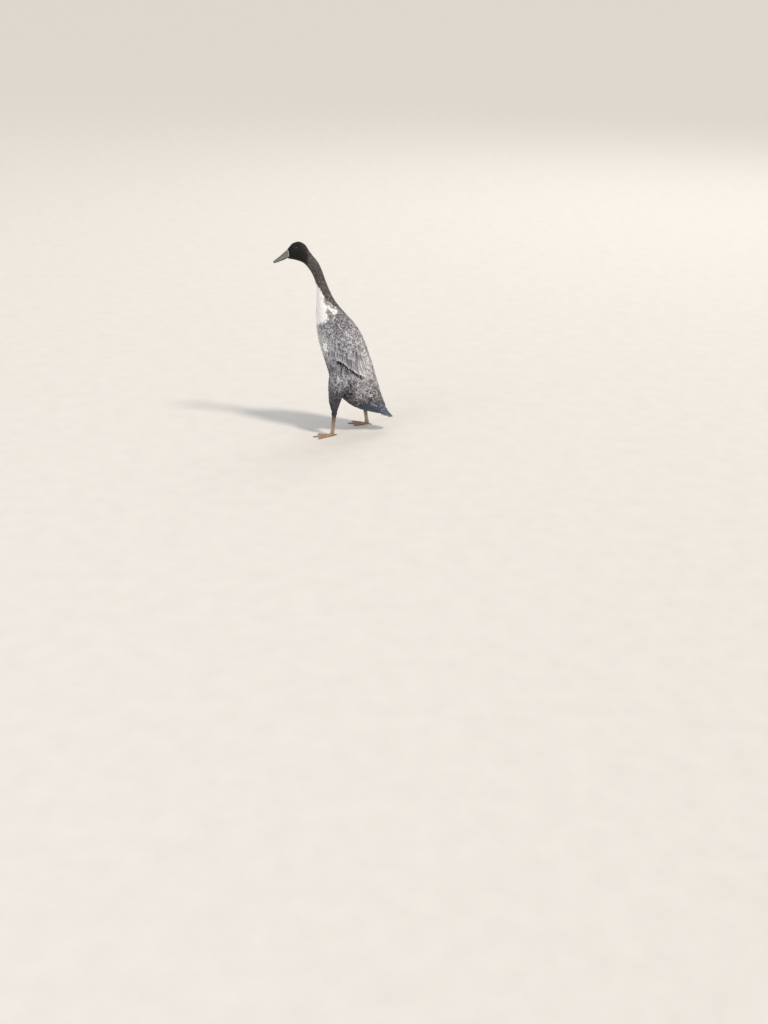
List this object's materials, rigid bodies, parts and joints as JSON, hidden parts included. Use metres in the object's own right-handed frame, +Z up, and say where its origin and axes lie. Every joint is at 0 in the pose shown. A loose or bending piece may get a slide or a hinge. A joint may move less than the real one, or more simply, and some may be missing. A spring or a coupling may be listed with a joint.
{
  "type": "indian runner duck",
  "caption": "Upright, slim duck in mid-stride with folded wings, dark head, white bib and mottled grey body, standing on two webbed feet.",
  "frame": {"origin": "on the floor under the middle of the bird's bounding box", "axes": "+Z up, -Y the way the bird faces and walks, +X its left side"},
  "size_m": [0.1832, 0.3566, 0.5833],
  "materials": {
    "head": "short dark glossy feathers",
    "neck": "short dark brown feathers, white bib in front",
    "body": "mottled blue-grey feathers",
    "flight": "slate-grey tail feathers",
    "bill": "smooth grey-green horn and skin",
    "eye": "wet, dark",
    "leg": "scaled skin, dusky orange",
    "claw": "dark horn"
  },
  "bodies": {
    "root": {"bill_lower": "bill", "bill_upper": "bill", "claw_left_hind": "claw", "claw_left_inner": "claw", "claw_left_middle": "claw", "claw_left_outer": "claw", "claw_right_hind": "claw", "claw_right_inner": "claw", "claw_right_middle": "claw", "claw_right_outer": "claw", "eye_left": "eye", "eye_right": "eye", "foot_left": "leg", "foot_right": "leg", "head": "head", "neck_lower": "neck", "neck_upper": "neck", "shank_left": "leg", "shank_right": "leg", "tail": "flight", "thigh_left": "body", "thigh_right": "body", "torso": "body", "wing_left": "body", "wing_right": "body"}
  },
  "joints": []
}
